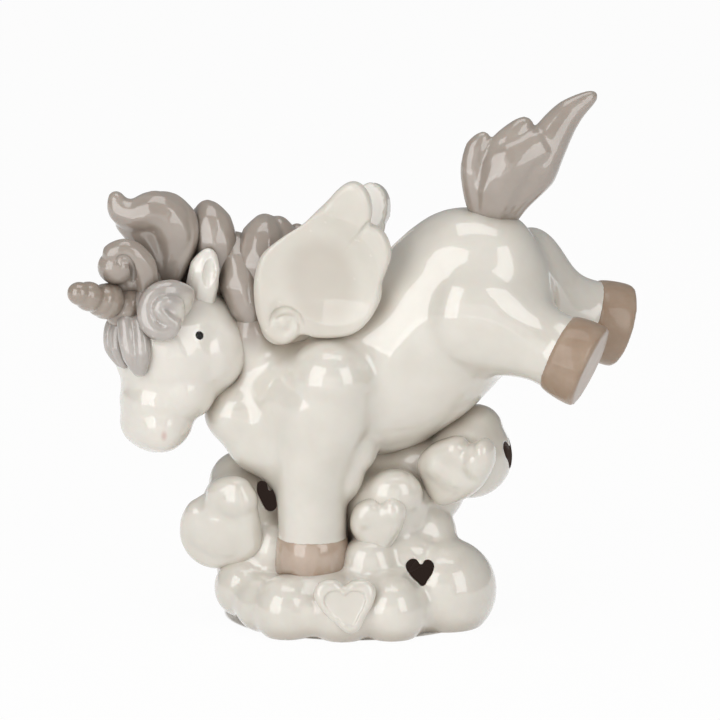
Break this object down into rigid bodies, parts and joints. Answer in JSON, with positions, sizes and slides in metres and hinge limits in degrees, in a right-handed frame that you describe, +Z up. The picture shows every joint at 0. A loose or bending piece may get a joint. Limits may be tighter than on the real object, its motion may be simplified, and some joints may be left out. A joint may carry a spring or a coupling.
{
  "type": "unicorn figurine",
  "caption": "Glazed porcelain winged unicorn leaping over a hollow cloud base with hearts and cut-outs.",
  "frame": {"origin": "on the table, under the middle of the figurine's bounding box", "axes": "+Z up; the animal faces -X and turns its head towards -Y, the side the picture shows"},
  "size_m": [0.1684, 0.0776, 0.1604],
  "materials": {
    "white_glaze": "high gloss",
    "taupe_glaze": "high gloss",
    "pale_grey_glaze": "high gloss",
    "horn_glaze": "high gloss",
    "hoof_glaze": "high gloss",
    "eye_enamel": "high gloss"
  },
  "bodies": {
    "root": {"cloud_base": "white_glaze", "heart_left_large": "white_glaze", "heart_right_upper": "white_glaze", "heart_front_middle": "white_glaze", "heart_front_low": "white_glaze", "heart_back_left": "white_glaze", "heart_back_right": "white_glaze", "torso": "white_glaze", "neck": "white_glaze", "head": "white_glaze", "left_ear": "white_glaze", "right_ear": "white_glaze", "left_wing": "white_glaze", "right_wing": "white_glaze", "left_foreleg": "white_glaze", "right_foreleg": "white_glaze", "left_hind_leg": "white_glaze", "right_hind_leg": "white_glaze", "forelock_curl": "taupe_glaze", "mane_lock_1": "taupe_glaze", "mane_lock_2": "taupe_glaze", "mane_lock_3": "taupe_glaze", "mane_lock_4": "taupe_glaze", "mane_lock_5": "taupe_glaze", "tail": "taupe_glaze", "forelock_swirl": "pale_grey_glaze", "forelock_front_lock": "pale_grey_glaze", "forelock_side_lock": "pale_grey_glaze", "horn": "horn_glaze", "left_fore_hoof": "hoof_glaze", "right_fore_hoof": "hoof_glaze", "left_hind_hoof": "hoof_glaze", "right_hind_hoof": "hoof_glaze", "left_eye": "eye_enamel", "right_eye": "eye_enamel"}
  },
  "joints": []
}
